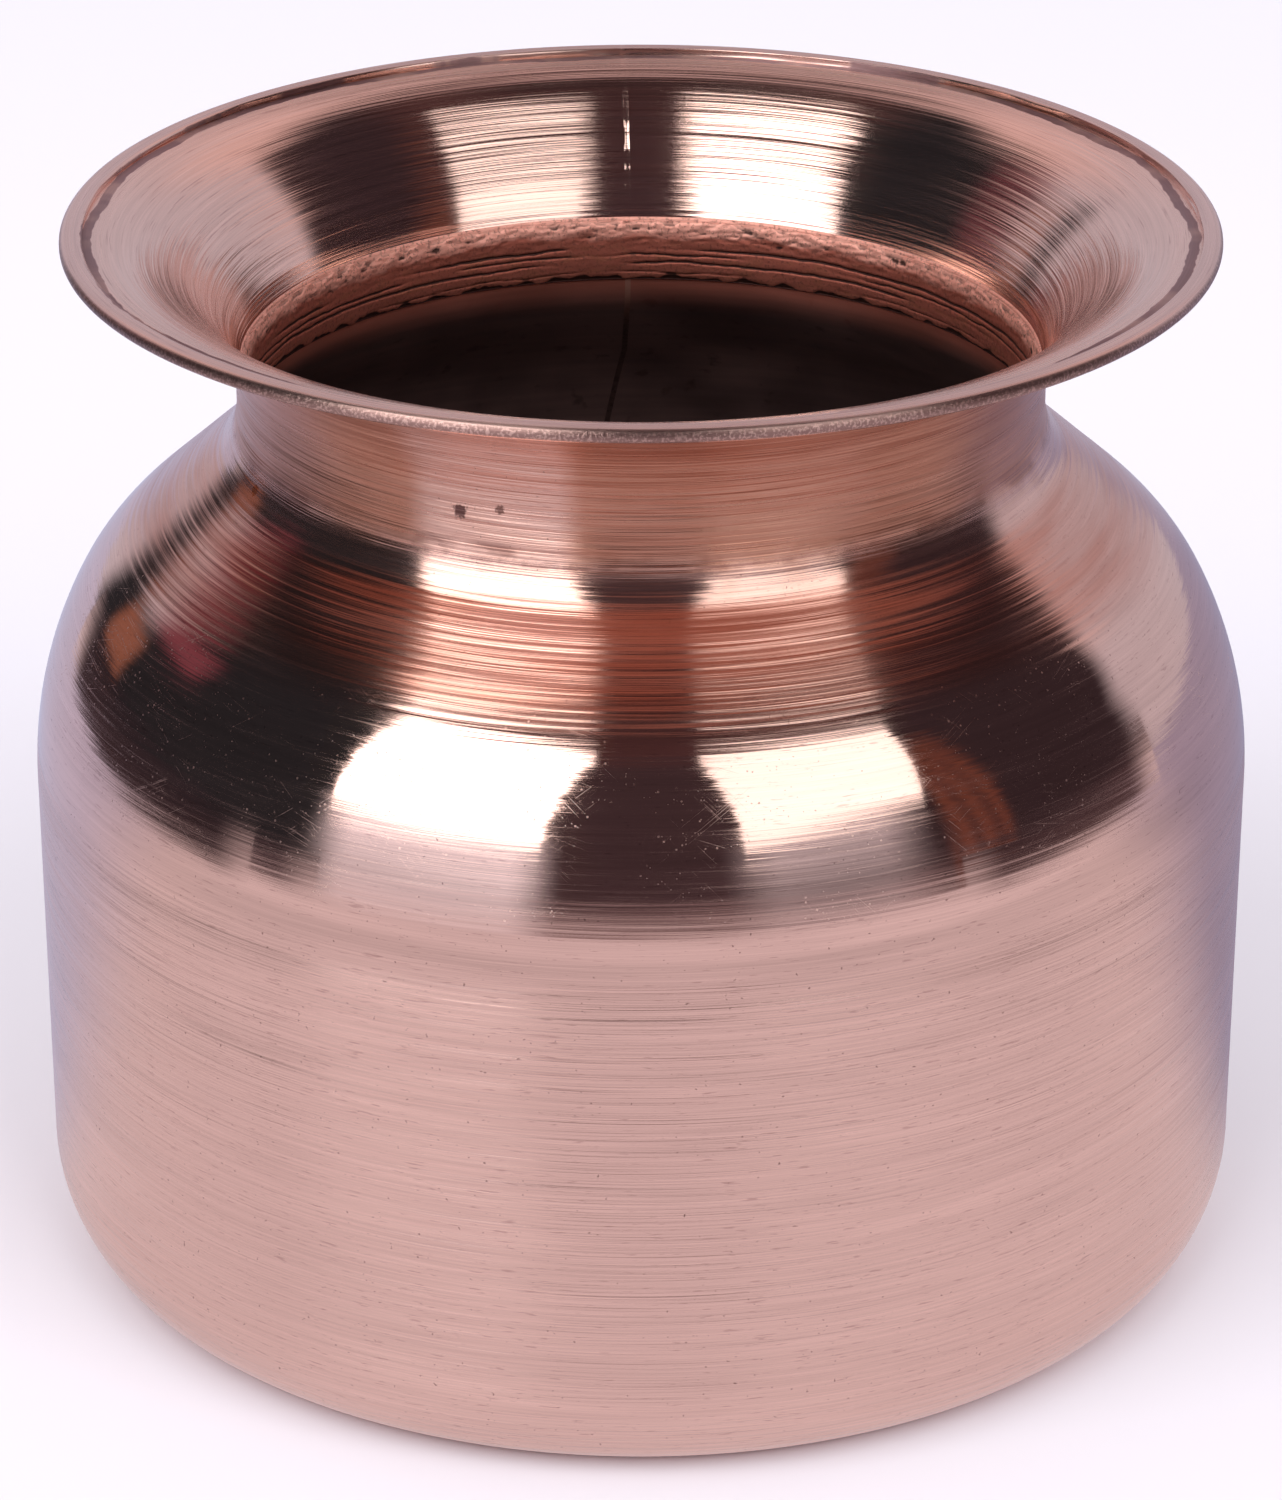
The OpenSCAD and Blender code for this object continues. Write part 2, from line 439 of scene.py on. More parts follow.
def collar_relief(r, z, azimuth):
    """Faint ring marks on the flare, and a wandering inner edge of the hem."""
    flare = between(z, 95 * MM, 106.5 * MM, 2 * MM) * (r < channel_in)
    marks = FLARE_MARKS * ridges(z + r, 1.1 * MM, 21)
    marks = marks + FINE_FLARE_MARKS * ridges(z + r, 0.5 * MM, 22)
    inward = np.clip((hem_in + EDGE_R - r) / EDGE_R, 0, 1) ** 10
    edge = inward * (r > hem_in - EDGE_R / 2) * (z > RIM_TOP - SHEET + EDGE_R / 2)
    return flare * marks + edge * (hem_wander(azimuth) + hem_slow(azimuth))


collar_outline = section(
    ([[NECK_R, COLLAR_EDGE], [NECK_R, flare_c[1]]], 0.3 * MM, 1),
    (flare_line(0), 0.55 * MM, 1),
    (arc(hem_c, SHEET, -90, 90), 0.16 * MM, 0),
    ([hem_c + [0, SHEET], [hem_edge_c[0], RIM_TOP]], 0.3 * MM, 0),
    (arc(hem_edge_c, EDGE_R, 90, 180), 0.08 * MM, 0),
    ([[hem_in, hem_edge_c[1]], [hem_in, RIM_TOP - SHEET]], 0.15 * MM, 0),
    ([[hem_in, RIM_TOP - SHEET], lip_end], 0.2 * MM, 0),
    (flare_line(SHEET)[::-1], 0.25 * MM, 0),
    ([[gap_in, flare_c[1]], [gap_in, COLLAR_EDGE]], 0.3 * MM, 0),
    ([[gap_in, COLLAR_EDGE], [NECK_R, COLLAR_EDGE]], 0.35 * MM, 0),
)
collar = turn("collar", collar_outline, COLLAR_SEGMENTS, collar_relief, round_the_seam, COLLAR_EDGE)


def collar_seam_relief(r, z, azimuth):
    """A dressed seam with a long nick and two short ones on the flare."""
    nicks = between(z, 102.2 * MM, 103.5 * MM, 0.8 * MM)
    short = 0.35 * between(z, 99.9 * MM, 100.2 * MM, 0.2 * MM)
    nicks += short + 0.3 * between(z, 98.2 * MM, 98.4 * MM, 0.15 * MM)
    return -(0.002 + 0.087 * nicks) * MM * seam_groove(azimuth)


collar_seam = turn(
    "collar_seam", collar_outline, SEAM_SEGMENTS, collar_seam_relief, in_the_seam, COLLAR_EDGE
)

# ---- Neck joint: what fills the gap between shoulder and collar, and the rough band inside it


def band_line(depth):
    """The stretches of the shoulder's and the collar's lines that the band covers."""
    low = [point for point in fillet_line(depth) if point[1] > band_low.z]
    high = [point for point in flare_line(depth) if point[1] < band_high.z]
    return low, high


back_low, back_high = band_line(SHEET)
face_low, face_high = band_line(SHEET + BAND_T)
band_outline = section(
    (back_low + [[gap_in, SHOULDER_EDGE]], 0.5 * MM, 0),
    ([[gap_in, SHOULDER_EDGE], [NECK_R, SHOULDER_EDGE]], 0.35 * MM, 0),
    ([[NECK_R, SHOULDER_EDGE], [NECK_R, COLLAR_EDGE]], 0.15 * MM, 1),
    ([[NECK_R, COLLAR_EDGE], [gap_in, COLLAR_EDGE]], 0.35 * MM, 0),
    ([[gap_in, COLLAR_EDGE]] + back_high, 0.5 * MM, 0),
    ([back_high[-1], face_high[-1]], 0.1 * MM, 0),
    (face_high[::-1] + face_low[::-1], 0.13 * MM, 0),
    ([face_low[0], back_low[0]], 0.1 * MM, 0),
)


def grains(seed, shape, reach):
    """A random field, smoothed over a few points each way, with values of about -2 to 2."""
    field = np.random.default_rng(seed).normal(0, 1, shape)
    for axis in (0, 1):
        field = sum(np.roll(field, n, axis=axis) for n in range(-reach, reach + 1))
    return field / field.std()


# Cracks in the band: height, how far each wanders, width and depth, in millimetres
CRACKS = (
    (91.7, 0.12, 0.13, 0.22),
    (90.9, 0.14, 0.10, 0.18),
    (90.1, 0.12, 0.12, 0.22),
    (88.9, 0.2, 0.10, 0.10),
)


def band_relief(r, z, azimuth):
    """Grainy filler that thins out towards its edges, with cracks that wander round it."""
    shape = (len(r), azimuth.shape[1])
    face = (r < np.interp(z, *np.array(back_low + back_high).T[::-1]) - BAND_T / 2)
    edge = np.minimum(z - band_low.z, band_high.z - z)
    ragged = round_random(41, 160, 0.2 * MM, 0.9 * MM)(azimuth)
    ragged = ragged + round_random(42, 420, -0.15 * MM, 0.25 * MM)(azimuth)
    thin = 1 - rise(edge / ragged, 0.3, 1.3)
    top = 0.25 + 0.75 * rise(z, 91.8 * MM, 93.2 * MM)
    grain = 0.034 * grains(43, shape, 1) + 0.024 * grains(44, shape, 3)
    height = MM * top * grain - 0.2 * MM * thin
    for number, (level, wander, width, depth) in enumerate(CRACKS):
        path = level * MM + round_random(50 + number, 60, -wander * MM, wander * MM)(azimuth)
        path = path + round_random(60 + number, 230, -0.05 * MM, 0.05 * MM)(azimuth)
        strength = rise(round_random(70 + number, 26, 0.0, 1.0)(azimuth), 0.1, 0.4)
        height = height - depth * MM * strength * np.exp(-((z - path) / (width * MM)) ** 2)
    return face * np.clip(height, -0.3 * MM, 0.06 * MM)


band = turn("neck_joint", band_outline, BAND_SEGMENTS, band_relief)

# ---- Belt joint
belt_outline = section(
    ([[BODY_R, BELT_Z], [BODY_R, SKIRT_EDGE]], 0.2 * MM, 0),
    ([[BODY_R, SKIRT_EDGE], [BODY_R - SHEET, SKIRT_EDGE]], 0.35 * MM, 0),
    ([[BODY_R - SHEET, SKIRT_EDGE], [BODY_R - SHEET, LAP_TOP]], 0.8 * MM, 0),
    ([[BODY_R - SHEET, LAP_TOP], [lap_r, LAP_TOP]], 0.1 * MM, 0),
    ([[lap_r, LAP_TOP], [lap_r, SKIRT_EDGE]], 0.8 * MM, 0),
    ([[lap_r, SKIRT_EDGE], [BODY_R, BELT_Z]], 0.4 * MM, 0),
)
belt = turn("belt_joint", belt_outline, CUP_SEGMENTS, wall_relief, along_from=BELT_Z)


# Materials

class Paint:
    """A material built node by node, with coordinates that run round the pot and along its outline."""

    def __init__(self, name):
        self.material = bpy.data.materials.new(name)
        self.material.use_nodes = True
        self.tree = self.material.node_tree
        self.shader = self.tree.nodes["Principled BSDF"]
        self.place = self.node("ShaderNodeTexCoord").outputs["Object"]
        parts = self.node("ShaderNodeSeparateXYZ", {0: self.place})
        self.z = parts.outputs[2]
        self.x = parts.outputs[0]
        self.along = self.node("ShaderNodeAttribute", attribute_name="along").outputs["Fac"]
        flat = self.vector("MULTIPLY", self.place, (1, 1, 0))
        self.r = self.node("ShaderNodeVectorMath", {0: flat}, operation="LENGTH").outputs["Value"]
        self.direction = self.vector("NORMALIZE", flat)

    def put(self, socket, value):
        if isinstance(value, bpy.types.NodeSocket):
            self.tree.links.new(value, socket)
        else:
            socket.default_value = value

    def node(self, kind, inputs=None, **settings):
        node = self.tree.nodes.new(kind)
        for name, value in settings.items():
            setattr(node, name, value)
        for name, value in (inputs or {}).items():
            self.put(node.inputs[name], value)
        return node

    def math(self, operation, *values):
        return self.node("ShaderNodeMath", dict(enumerate(values)), operation=operation).outputs[0]

    def vector(self, operation, *values):
        return self.node("ShaderNodeVectorMath", dict(enumerate(values)), operation=operation).outputs[0]

    def times(self, *values):
        result = values[0]
        for value in values[1:]:
            result = self.math("MULTIPLY", result, value)
        return result

    def plus(self, *values):
        result = values[0]
        for value in values[1:]:
            result = self.math("ADD", result, value)
        return result

    def swing(self, noise, reach):
        """Noise of 0 to 1, moved to swing round 0 and made as large as reach."""
        return self.times(self.plus(noise, -0.5), reach)

    def weighed(self, zones, shares):
        """The sum of the zones, each times its own share."""
        return self.plus(*[self.times(zone, share) for zone, share in zip(zones, shares)])

    def rise(self, value, low, high, bottom=0.0, top=1.0):
        """A smooth step from bottom at low to top at high."""
        inputs = {"Value": value, "From Min": low, "From Max": high, "To Min": bottom, "To Max": top}
        return self.node("ShaderNodeMapRange", inputs, interpolation_type="SMOOTHSTEP").outputs[0]

    def band(self, value, low, high, soft):
        """1 between low and high, falling to 0 over soft outside them."""
        return self.times(self.rise(value, low - soft, low), self.rise(value, high, high + soft, 1.0, 0.0))

    def mix(self, factor, a, b):
        colours = [c if isinstance(c, bpy.types.NodeSocket) else (*c, 1) for c in (a, b)]
        node = self.node("ShaderNodeMix", data_type="RGBA")
        for name, value in (("Factor_Float", factor), ("A_Color", colours[0]), ("B_Color", colours[1])):
            self.put(next(s for s in node.inputs if s.identifier == name), value)
        return next(s for s in node.outputs if s.identifier == "Result_Color")

    def scaled(self, colour, factor):
        """A colour or a vector, times a number."""
        return self.node("ShaderNodeVectorMath", {0: colour, "Scale": factor}, operation="SCALE").outputs[0]

    def rings(self, turns, spacing, detail=2.0, slant=0.0):
        """Noise in rings round the pot.

        turns is its fineness round the axis, spacing its size along the outline, and slant its lean.
        """
        wheel = self.scaled(self.direction, turns)
        height = self.math("DIVIDE", self.plus(self.along, self.times(self.x, slant)), spacing)
        level = self.node("ShaderNodeCombineXYZ", {2: height}).outputs[0]
        inputs = {"Vector": self.vector("ADD", wheel, level), "Scale": 1.0, "Detail": detail}
        return self.node("ShaderNodeTexNoise", inputs).outputs[0]

    def cloud(self, size, detail=3.0):
        """Noise with the same size each way."""
        inputs = {"Vector": self.place, "Scale": 1 / size, "Detail": detail}
        return self.node("ShaderNodeTexNoise", inputs).outputs[0]

    def dots(self, spacing, share):
        """Small round dots in a share of the cells of a random grid."""
        cells = self.node("ShaderNodeTexVoronoi", {"Vector": self.place, "Scale": 1 / spacing})
        chance = self.node("ShaderNodeSeparateColor", {0: cells.outputs["Color"]}).outputs[0]
        dot = self.rise(cells.outputs["Distance"], 0.16, 0.24, 1.0, 0.0)
        return self.times(dot, self.rise(chance, 1 - share, 1.01 - share))

    def spot(self, point, radius, ragged=0.35):
        """1 inside a ragged round mark, 0 outside."""
        middle = [c * MM for c in point]
        away = self.node("ShaderNodeVectorMath", {0: self.place, 1: middle}, operation="DISTANCE")
        edge = self.swing(self.cloud(0.35 * radius * MM), ragged * 4 * radius * MM)
        reach = self.plus(away.outputs["Value"], edge)
        return self.rise(reach, 0.55 * radius * MM, radius * MM, 1.0, 0.0)

    def tilted(self, slope):
        """The surface normal, tipped along the outline by a slope."""
        normal = self.node("ShaderNodeNewGeometry").outputs["Normal"]
        across = self.vector("NORMALIZE", self.vector("CROSS_PRODUCT", (0, 0, 1), normal))
        up = self.vector("CROSS_PRODUCT", normal, across)
        return self.vector("NORMALIZE", self.vector("ADD", normal, self.scaled(up, slope)))

    def metal(self, colour, roughness, anisotropy, height, depth, slope=None):
        """Wires up the shader. height is its bump, depth metres deep, and slope tips the normal."""
        self.put(self.shader.inputs["Base Color"], colour)
        self.put(self.shader.inputs["Roughness"], roughness)
        self.shader.inputs["Metallic"].default_value = 1
        if anisotropy:
            self.shader.inputs["Anisotropic"].default_value = anisotropy
            self.shader.inputs["Anisotropic Rotation"].default_value = 0.25
            tangent = self.node("ShaderNodeTangent", direction_type="RADIAL", axis="Z").outputs[0]
            self.put(self.shader.inputs["Tangent"], tangent)
        bump = self.node("ShaderNodeBump", {"Height": height, "Distance": depth, "Strength": 1.0})
        if slope is not None:
            self.put(bump.inputs["Normal"], self.tilted(slope))
        self.put(self.shader.inputs["Normal"], bump.outputs[0])
        return self.material


# Colours of the copper, and of what covers it in places; some of the dark ones are painted shade
COPPER = (0.90, 0.60, 0.51)
MAROON = (0.34, 0.16, 0.15)
RIDGE_TARNISH = (0.66, 0.29, 0.21)
NECK_MOTTLE, NECK_TARNISH = (0.58, 0.30, 0.21), (0.62, 0.28, 0.18)
# The crease below the neck, partly tarnish and partly painted shade, and dark specks
CREASE_TARNISH_AND_SHADE, SPECK_DARK = (0.25, 0.11, 0.09), (0.16, 0.07, 0.06)
CHANNEL_MAUVE, HEM_DULL, WORN_EDGE = (0.38, 0.22, 0.235), (0.62, 0.42, 0.42), (0.22, 0.11, 0.10)
# Inside colours: the dark and pale browns are oxide made darker as painted shade, for deep in the pot
INSIDE_DARK, INSIDE_PALE, INSIDE_STAIN = (0.14, 0.085, 0.082), (0.22, 0.13, 0.12), (0.07, 0.035, 0.03)
INSIDE_NECK = (0.62, 0.19, 0.13)
BAND_LOW, BAND_FACE, BAND_TOP = (0.52, 0.17, 0.12), (0.44, 0.135, 0.095), (0.98, 0.50, 0.40)
# Filler colours; the crack colour is painted shade
BAND_RUST, BAND_PITS, BAND_CRACK_SHADE = (0.42, 0.15, 0.09), (0.14, 0.06, 0.05), (0.02, 0.012, 0.012)
SEAM_DARK, SEAM_PITS, SEAM_NECK = (0.10, 0.055, 0.05), (0.04, 0.02, 0.02), (0.70, 0.32, 0.24)

# Heights over which one finish of the outside gives way to the next
SATIN_ENDS = 52 * MM, 58 * MM
MIRROR_STARTS = 58 * MM, 62 * MM
RIDGES_START = 75 * MM, 79 * MM
NECK_STARTS = 86.5 * MM, 89.5 * MM

# What differs on the satin wall, the mirror, the ridges and the neck. The neck's values add to the ridges'.
BASE_ROUGHNESS = (0.22, 0.085, 0.17, 0.12)
FINE_BRUSHING = (0.9, 0.12, 0.4, 1.35)
COARSE_BRUSHING = (0.25, 0.08, 0.15, 0.15)

# A stripe up the neck with less tarnish, in shares of the radius across. It is a painted reflection of a
# window.
PAINTED_REFLECTION_STRIPE = -0.48, -0.2

# Marks on the outside of the neck: place and radius in millimetres, tint and cover
NECK_MARKS = (
    ((-17.1, -37.0, 92.8), 0.9, (0.10, 0.04, 0.04), 0.9),
    ((-13.3, -38.6, 93.5), 0.6, (0.14, 0.06, 0.05), 0.8),
    ((-38.0, -17.3, 86.8), 0.7, (0.60, 0.22, 0.08), 0.8),
)


def outer_copper(name):
    """Satin on the wall, nearly a mirror on the shoulder's crown, and ridged and tarnished above it, with a
    painted reflection up the neck.
    """
    p = Paint(name)
    fine = p.rings(5, 0.16 * MM)
    medium = p.rings(2.5, 0.6 * MM)
    broad = p.rings(1.5, 5 * MM, detail=3)
    wall = p.rise(p.z, *SATIN_ENDS, 1.0, 0.0)
    ridged = p.rise(p.z, *RIDGES_START)
    mirror = p.times(p.rise(p.z, *MIRROR_STARTS), p.rise(p.z, *RIDGES_START, 1.0, 0.0))
    belt_marks = p.band(p.z, 43.5 * MM, 49.5 * MM, 2 * MM)

    # Light and dark rings, and maroon streaks
    shade = p.plus(1.0, p.swing(fine, 0.26), p.swing(medium, 0.20))
    shade = p.plus(shade, p.swing(broad, 0.22))
    streaks = p.rise(p.rings(26, 0.22 * MM, 3.0), 0.62, 0.72)
    long_streaks = p.rise(p.rings(5, 0.5 * MM, 3.0), 0.6, 0.75)
    colour = p.mix(p.times(streaks, 0.35), COPPER, MAROON)
    streaked = p.plus(p.times(ridged, 0.4), p.times(belt_marks, 0.3))
    colour = p.mix(p.times(long_streaks, streaked), colour, MAROON)

    # Tarnish on the ridges and the neck, left off a stripe up the neck as a painted reflection, patchy
    # tarnish and painted shade in the crease below the neck, and dark specks all over
    uneven = p.rise(p.rings(2, 3 * MM, 3.0), 0.35, 0.7, 0.5, 0.9)
    warm = p.times(ridged, uneven, p.rise(p.z, 84.3 * MM, 86 * MM, 1.0, 0.3))
    colour = p.mix(warm, colour, RIDGE_TARNISH)
    across = p.math("DIVIDE", p.x, p.r)
    # Outside this stripe the neck is tarnished and mottled. Inside it the copper stays bright as a painted
    # reflection.
    dull = p.math("SUBTRACT", 1.0, p.band(across, *PAINTED_REFLECTION_STRIPE, 0.08))
    mottle = p.times(p.rise(p.z, 84 * MM, 89 * MM), p.rise(p.cloud(9 * MM, 4.0), 0.42, 0.62, 0.1, 0.55))
    colour = p.mix(p.times(mottle, p.plus(0.35, p.times(dull, 0.65))), colour, NECK_MOTTLE)
    # Patchy darkening in the crease at the bottom of the hollow below the neck: partly tarnish, partly
    # painted shade
    hollow = p.band(p.z, 88.3 * MM, 89.6 * MM, 0.7 * MM)
    crease = p.times(hollow, p.rise(p.rings(8, 3 * MM, 4.0), 0.45, 0.65))
    colour = p.mix(p.times(crease, 0.6), colour, CREASE_TARNISH_AND_SHADE)
    specks = p.rise(p.rings(160, 0.35 * MM, 1.0), 0.74, 0.78)
    colour = p.mix(p.times(specks, 0.6), colour, SPECK_DARK)
    # Tarnish on the neck, kept off the stripe of painted reflection
    colour = p.mix(p.times(dull, p.rise(p.z, 87 * MM, 90 * MM), 0.75), colour, NECK_TARNISH)
    for point, radius, tint, cover in NECK_MARKS:
        colour = p.mix(p.times(p.spot(point, radius), cover), colour, tint)
    colour = p.scaled(colour, shade)

    # Polish, brushing and scratches
    scratches = p.times(scratch_lines(p), mirror)
    hairs = p.times(p.rise(p.rings(4, 0.11 * MM, 1.0), 0.60, 0.70), mirror)
    neck = p.rise(p.z, *NECK_STARTS)
    zones = (wall, mirror, ridged, neck)
    base = p.weighed(zones, BASE_ROUGHNESS)
    base = p.plus(base, p.times(p.band(p.z, 54 * MM, 60 * MM, 4 * MM), 0.05))
    spread = p.weighed(zones, FINE_BRUSHING)
    streak = p.weighed(zones, COARSE_BRUSHING)
    slope = p.swing(p.rings(2.5, 0.05 * MM, 0.0), spread)
    slope = p.plus(slope, p.swing(p.rings(3, 0.3 * MM), streak))
    rough = p.plus(base, p.swing(medium, 0.12), p.times(scratches, 0.32), p.times(hairs, 0.10))
    rough = p.math("MAXIMUM", rough, 0.04)
    height = p.plus(fine, p.times(medium, 1.6), p.times(scratches, -0.25))
    height = p.times(height, p.weighed(zones[:3], (1.0, 0.25, 1.2)))
    return p.metal(colour, rough, 0.9, height, 2.0e-6, slope)


def scratch_lines(p):
    """Fine straight scratches in crossed directions and small pits, gathered in patches."""
    patches = p.rise(p.cloud(11 * MM, 2.0), 0.38, 0.58)
    lines = 0.0
    for slant, part in ((1.0, 2.6), (-0.8, 3.1), (0.35, 3.7)):
        line = p.rise(p.rings(4, 0.07 * MM, 0.0, slant), 0.72, 0.80)
        lines = p.plus(p.times(line, p.rise(p.cloud(part * MM, 1.0), 0.5, 0.62, 0.0, 0.7)), lines)
    pits = p.plus(p.dots(0.55 * MM, 0.16), p.dots(0.28 * MM, 0.10))
    return p.math("MINIMUM", p.times(p.plus(lines, pits), patches), 1.0)


def mouth_copper(name):
    """The collar: bright flare, unpolished channel beside the hem, dull hem and dark worn edge."""
    p = Paint(name)
    fine = p.rings(4, 0.16 * MM)
    medium = p.rings(2, 0.6 * MM)
    broad = p.rings(1.5, 4 * MM, detail=3)
    shade = p.plus(1.0, p.swing(fine, 0.30), p.swing(medium, 0.26))
    shade = p.plus(shade, p.swing(broad, 0.18))
    colour = p.mix(p.times(p.rise(p.rings(6, 0.22 * MM, 3.0), 0.58, 0.72), 0.4), COPPER, MAROON)

    # The channel's edges wander as they run round.
    wander = p.swing(p.rings(22, 40 * MM), 0.6 * MM)
    wander = p.plus(wander, p.swing(p.rings(4, 40 * MM, 0.0), 1.6 * MM))
    top = p.rise(p.z, 107.6 * MM, 108.1 * MM)
    ring_at = p.plus(p.r, wander)
    channel = p.times(top, p.band(ring_at, 54.5 * MM, 55.4 * MM, 0.15 * MM))
    patchy = p.rise(p.rings(7, 40 * MM, 3.0), 0.36, 0.5, 0.55, 1.0)
    colour = p.mix(p.times(channel, patchy, 0.85), colour, CHANNEL_MAUVE)
    hem = p.times(top, p.rise(p.r, 55.6 * MM, 55.8 * MM))
    colour = p.mix(p.times(hem, 0.25), colour, HEM_DULL)
    edge = p.rise(p.r, 57.35 * MM, 57.7 * MM)
    sparkle = p.rise(p.rings(220, 0.3 * MM, 1.0), 0.45, 0.65)
    colour = p.mix(p.times(edge, 0.75, p.plus(1.0, p.times(sparkle, -0.6))), colour, WORN_EDGE)
    colour = p.scaled(colour, shade)

    worn = p.swing(medium, 0.12)
    rough = p.plus(0.15, worn, p.times(top, 0.12), p.times(channel, 0.3), p.times(edge, 0.15))
    brushing = p.plus(p.rings(1.6, 0.045 * MM, 0.0), -0.5)
    flare = p.rise(p.r, 50 * MM, 54 * MM, 1.0, 0.4)
    slope = p.times(brushing, flare, 0.85)
    coarse = p.swing(p.rings(1.2, 0.35 * MM, 1.0), flare)
    slope = p.plus(slope, p.times(coarse, 0.14))
    # A tilt that makes the flare reflect as a straighter one would: one way near the waist, the other above
    tilt = p.rise(p.r, 40.2 * MM, 47.5 * MM, 0.22, -0.27)
    slope = p.plus(slope, p.times(tilt, p.rise(p.r, 48 * MM, 52 * MM, 1.0, 0.0)))
    height = p.plus(fine, p.times(medium, 1.0), p.times(edge, sparkle, 4.0))
    return p.metal(colour, rough, 0.9, height, 1.8e-6, slope)


def inner_copper(name):
    """Oxidised inside: dark brown with darker rings and stains, and redder up to the band; below the band
    the brown is kept dark as painted shade.
    """
    p = Paint(name)
    patches = p.rise(p.cloud(14 * MM, 4.0), 0.35, 0.7)
    rings = p.rings(2, 1.1 * MM, 3.0)
    # Dark browns in patches: oxide, made darker than it is as painted shade deep in the pot
    colour = p.mix(patches, INSIDE_DARK, INSIDE_PALE)
    colour = p.mix(p.rise(p.cloud(2.2 * MM, 4.0), 0.6, 0.75, 0.0, 0.6), colour, INSIDE_STAIN)
    colour = p.mix(p.rise(p.z, 82.5 * MM, 89 * MM, 0.0, 0.95), colour, INSIDE_NECK)
    colour = p.scaled(colour, p.plus(0.75, p.times(rings, 0.5)))
    rough = p.plus(0.38, p.times(patches, 0.15), p.times(rings, 0.08))
    material = p.metal(colour, rough, 0.5, rings, 4e-6)
    p.shader.inputs["Metallic"].default_value = 0.75
    return material


def rough_filler(name):
    """Granular filler: pale pink along its top, red-brown below it, and nearly black as painted shade where
    it lies deepest, in its cracks and thinned edges.
    """
    p = Paint(name)
    proud = p.node("ShaderNodeAttribute", attribute_name="proud").outputs["Fac"]
    grain = p.cloud(0.35 * MM, 3.0)
    blotch = p.rings(10, 1.3 * MM, 4.0)
    level = p.plus(p.z, p.swing(blotch, 2.4 * MM))
    colour = p.mix(p.rise(level, 88.0 * MM, 91.0 * MM), BAND_LOW, BAND_FACE)
    colour = p.mix(p.rise(level, 92.7 * MM, 93.9 * MM), colour, BAND_TOP)
    rust = p.rise(p.rings(16, 0.9 * MM, 3.0), 0.52, 0.62)
    rust = p.times(rust, p.band(p.z, 88.8 * MM, 92 * MM, 0.8 * MM))
    colour = p.mix(p.times(rust, 0.5), colour, BAND_RUST)
    colour = p.mix(p.rise(grain, 0.52, 0.68, 0.0, 0.5), colour, BAND_PITS)
    # Painted shade: nearly black where the filler lies deep, in its cracks and where it thins at its edges,
    # less so near the top
    deep = p.rise(proud, -0.10 * MM, -0.04 * MM, 1.0, 0.0)
    colour = p.mix(p.times(deep, p.rise(p.z, 94.0 * MM, 94.6 * MM, 0.9, 0.2)), colour, BAND_CRACK_SHADE)
    rough = p.plus(0.48, p.times(grain, 0.25))
    material = p.metal(colour, rough, 0.0, grain, 40e-6)
    p.shader.inputs["Metallic"].default_value = 0.85
    return material


def seam_filler(name):
    """The shoulder's seam as it shows inside: dark and grainy, and paler up to the neck."""
    p = Paint(name)
    grain = p.cloud(0.5 * MM, 3.0)
    colour = p.mix(p.rise(grain, 0.45, 0.65, 0.0, 0.6), SEAM_DARK, SEAM_PITS)
    colour = p.mix(p.rise(p.z, 79 * MM, 89 * MM, 0.0, 0.8), colour, SEAM_NECK)
    material = p.metal(colour, p.plus(0.4, p.times(grain, 0.15)), 0.0, grain, 6e-6)
    p.shader.inputs["Metallic"].default_value = 0.65
    return material


wall_paint = outer_copper("copper_wall")
neck_paint = outer_copper("copper_neck")
shoulder_paint = outer_copper("copper_shoulder")
collar_paint = mouth_copper("copper_mouth")
inside_paint = inner_copper("copper_inside")
dark_seam_paint = seam_filler("filler_inside")
band_paint = rough_filler("filler_rough")

for piece, node, slot, paints in (
    (cup, "lower_cup", "body_copper", (wall_paint, inside_paint)),
    (shoulder, "shoulder_shell", "shoulder_copper", (shoulder_paint, inside_paint)),
    (collar, "mouth_collar", "mouth_copper", (collar_paint, neck_paint)),
    (belt, "belt_braze", "braze", (wall_paint,)),
    (band, "neck_braze", "rough_braze", (band_paint, neck_paint)),
    (shoulder_seam, "shoulder_seam_braze", "braze", (shoulder_paint, dark_seam_paint)),
    (collar_seam, "collar_seam_braze", "braze", (collar_paint, neck_paint)),
):
    for paint in paints:
        piece.data.materials.append(paint)
    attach(piece, "root")
    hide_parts(node)


# Stage: a pale floor, and cards that only the copper reflects

def stage_piece(name, points, faces, material):
    mesh = bpy.data.meshes.new(name)
    mesh.from_pydata(points, [], faces)
    thing = bpy.data.objects.new(name, mesh)
    bpy.context.collection.objects.link(thing)
    thing.data.materials.append(material)
    return thing


def glow(name):
    """A material that shines with the mesh's own shade."""
    material = bpy.data.materials.new(name)
    material.use_nodes = True
    tree = material.node_tree
    tree.nodes.clear()
    output = tree.nodes.new("ShaderNodeOutputMaterial")
    light = tree.nodes.new("ShaderNodeEmission")
    shade = tree.nodes.new("ShaderNodeAttribute")
    shade.attribute_name = "shade"
    tree.links.new(shade.outputs["Color"], light.inputs["Color"])
    tree.links.new(light.outputs[0], output.inputs["Surface"])
    return material


